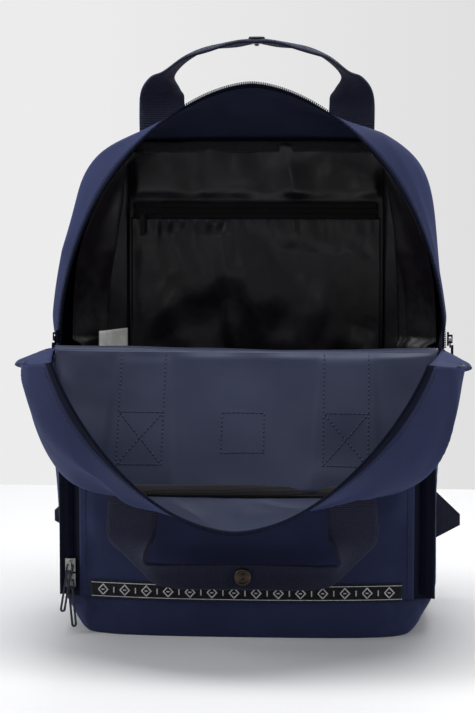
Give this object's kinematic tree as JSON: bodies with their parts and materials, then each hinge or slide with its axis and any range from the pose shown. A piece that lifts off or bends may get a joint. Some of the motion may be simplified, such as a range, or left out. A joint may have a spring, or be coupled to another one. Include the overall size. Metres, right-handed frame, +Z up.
{
  "type": "school backpack",
  "caption": "Boxy fabric school backpack standing open, with a fold-down zipped front flap, two webbing carry handles, a vertical-zip front pocket and padded shoulder straps.",
  "frame": {"origin": "middle of the base's resting face", "axes": "+Z up, -Y out of the front, +X to the right as seen from the front"},
  "size_m": [0.342, 0.3307, 0.4694],
  "materials": {
    "shell_fabric": "navy woven polyester canvas, matt",
    "lining_satin": "black satin lining, soft sheen",
    "board": "black stiffener board",
    "foam": "grey foam pad",
    "zip_tape": "navy woven zip tape",
    "zip_teeth": "navy coil teeth",
    "binding": "black-brown seam binding",
    "patch": "blank navy patch, stitched round",
    "webbing": "navy ribbed webbing",
    "snap_metal": "antique bronze press stud",
    "strap_fabric": "padded navy fabric strap",
    "buckle_plastic": "black acetal buckle",
    "slider_metal": "dark nickel zip slider",
    "pull_tab": "dark navy zip pull",
    "ribbon": "black ribbon with woven silver geometric motif",
    "label": "white satin care label, blank"
  },
  "bodies": {
    "bag": {"base_boot": "shell_fabric", "base_board": "board", "side_right": "shell_fabric", "side_left": "shell_fabric", "back_outer": "shell_fabric", "back_foam": "foam", "rear_gusset": "shell_fabric", "rear_zip_tape": "zip_tape", "rear_zip_teeth": "zip_teeth", "lining_right": "lining_satin", "lining_left": "lining_satin", "lining_back": "lining_satin", "lining_floor": "lining_satin", "top_seam_binding": "binding", "inner_pocket_panel": "lining_satin", "inner_pocket_zip": "zip_tape", "front_panel": "shell_fabric", "pocket_panel": "shell_fabric", "ribbon_band": "ribbon", "pocket_zip_right": "zip_tape", "pocket_zip_left": "zip_tape", "rear_handle_anchors": "webbing", "strap_yoke": "webbing", "corner_tab_right": "webbing", "corner_tab_left": "webbing"},
    "flap": {"flap_panel": "shell_fabric", "flap_gusset": "shell_fabric", "flap_zip_tape": "zip_tape", "flap_zip_teeth": "zip_teeth", "flap_seam_binding": "binding", "flap_patch": "patch", "flap_webbing_right": "webbing", "flap_webbing_left": "webbing"},
    "front_handle": {"front_handle": "webbing", "front_snap": "snap_metal"},
    "rear_handle": {"rear_handle": "webbing", "rear_snap": "snap_metal"},
    "strap_left": {"strap_pad_left": "strap_fabric", "ladder_lock_left": "buckle_plastic", "strap_webbing_left": "webbing"},
    "strap_right": {"strap_pad_right": "strap_fabric", "ladder_lock_right": "buckle_plastic", "strap_webbing_right": "webbing"},
    "tail_left": {"strap_tail_left": "webbing"},
    "tail_right": {"strap_tail_right": "webbing"},
    "left_upper_slider": {"left_upper_slider": "slider_metal"},
    "left_upper_pull": {"left_upper_pull": "pull_tab"},
    "left_lower_slider": {"left_lower_slider": "slider_metal"},
    "left_lower_pull": {"left_lower_pull": "pull_tab"},
    "right_slider": {"right_slider": "slider_metal"},
    "right_pull": {"right_pull": "pull_tab"},
    "main_slider_left": {"main_slider_left": "slider_metal"},
    "main_pull_left": {"main_pull_left": "pull_tab"},
    "main_slider_right": {"main_slider_right": "slider_metal"},
    "main_pull_right": {"main_pull_right": "pull_tab"},
    "inner_slider": {"inner_slider": "slider_metal"},
    "inner_pull": {"inner_pull": "pull_tab"},
    "care_label": {"care_label": "label"}
  },
  "joints": [
    {"name": "flap_fold", "type": "hinge", "parent": "bag", "child": "flap", "pos_m": [0, -0.074, 0.242], "axis": [1, 0, 0], "range_deg": [-153, 0]},
    {"name": "front_handle_swing", "type": "hinge", "parent": "flap", "child": "front_handle", "pos_m": [0, -0.12727, 0.1412], "axis": [1, 0, 0], "range_deg": [-12, 12]},
    {"name": "rear_handle_fold", "type": "hinge", "parent": "bag", "child": "rear_handle", "pos_m": [0, 0.0736, 0.3563], "axis": [1, 0, 0], "range_deg": [-120, 0]},
    {"name": "strap_lift_left", "type": "hinge", "parent": "bag", "child": "strap_left", "pos_m": [-0.044, 0.0782, 0.306], "axis": [1, 0, 0], "range_deg": [0, 20]},
    {"name": "strap_lift_right", "type": "hinge", "parent": "bag", "child": "strap_right", "pos_m": [0.044, 0.0782, 0.306], "axis": [1, 0, 0], "range_deg": [0, 20]},
    {"name": "tail_swing_left", "type": "hinge", "parent": "strap_left", "child": "tail_left", "pos_m": [-0.081, 0.097, 0.089], "axis": [1, 0, 0], "range_deg": [0, 30]},
    {"name": "tail_swing_right", "type": "hinge", "parent": "strap_right", "child": "tail_right", "pos_m": [0.081, 0.097, 0.089], "axis": [1, 0, 0], "range_deg": [0, 30]},
    {"name": "left_upper_slide", "type": "slide", "parent": "bag", "child": "left_upper_slider", "axis": [0, 0, 1], "range_m": [0, 0.12]},
    {"name": "left_upper_pull_swing", "type": "hinge", "parent": "left_upper_slider", "child": "left_upper_pull", "pos_m": [-0.1385, -0.0733, 0.053], "axis": [1, 0, 0], "range_deg": [-100, 0]},
    {"name": "left_lower_slide", "type": "slide", "parent": "bag", "child": "left_lower_slider", "axis": [0, 0, 1], "range_m": [-0.002, 0.001]},
    {"name": "left_lower_pull_swing", "type": "hinge", "parent": "left_lower_slider", "child": "left_lower_pull", "pos_m": [-0.1385, -0.0733, 0.041], "axis": [1, 0, 0], "range_deg": [-12, 0]},
    {"name": "right_slide", "type": "slide", "parent": "bag", "child": "right_slider", "axis": [0, 0, 1], "range_m": [-0.13, 0.006]},
    {"name": "right_pull_swing", "type": "hinge", "parent": "right_slider", "child": "right_pull", "pos_m": [0.1385, -0.0733, 0.186], "axis": [1, 0, 0], "range_deg": [-60, 0]},
    {"name": "main_slide_left", "type": "slide", "parent": "bag", "child": "main_slider_left", "axis": [0, 0, 1], "range_m": [0, 0.014]},
    {"name": "main_pull_swing_left", "type": "hinge", "parent": "main_slider_left", "child": "main_pull_left", "pos_m": [-0.15927, 0.0016, 0.226], "axis": [0, 1, 0], "range_deg": [0, 110]},
    {"name": "main_slide_right", "type": "slide", "parent": "bag", "child": "main_slider_right", "axis": [0, 0, 1], "range_m": [0, 0.014]},
    {"name": "main_pull_swing_right", "type": "hinge", "parent": "main_slider_right", "child": "main_pull_right", "pos_m": [0.15927, 0.0016, 0.226], "axis": [0, 1, 0], "range_deg": [-110, 0]},
    {"name": "inner_slide", "type": "slide", "parent": "bag", "child": "inner_slider", "axis": [1, 0, 0], "range_m": [0, 0.18]},
    {"name": "inner_pull_swing", "type": "hinge", "parent": "inner_slider", "child": "inner_pull", "pos_m": [-0.093, 0.0487, 0.325], "axis": [1, 0, 0], "range_deg": [-100, 0]},
    {"name": "care_label_turn", "type": "hinge", "parent": "bag", "child": "care_label", "pos_m": [-0.10686, 0.05665, 0.2], "axis": [0, 0, 1], "range_deg": [0, 60]}
  ]
}
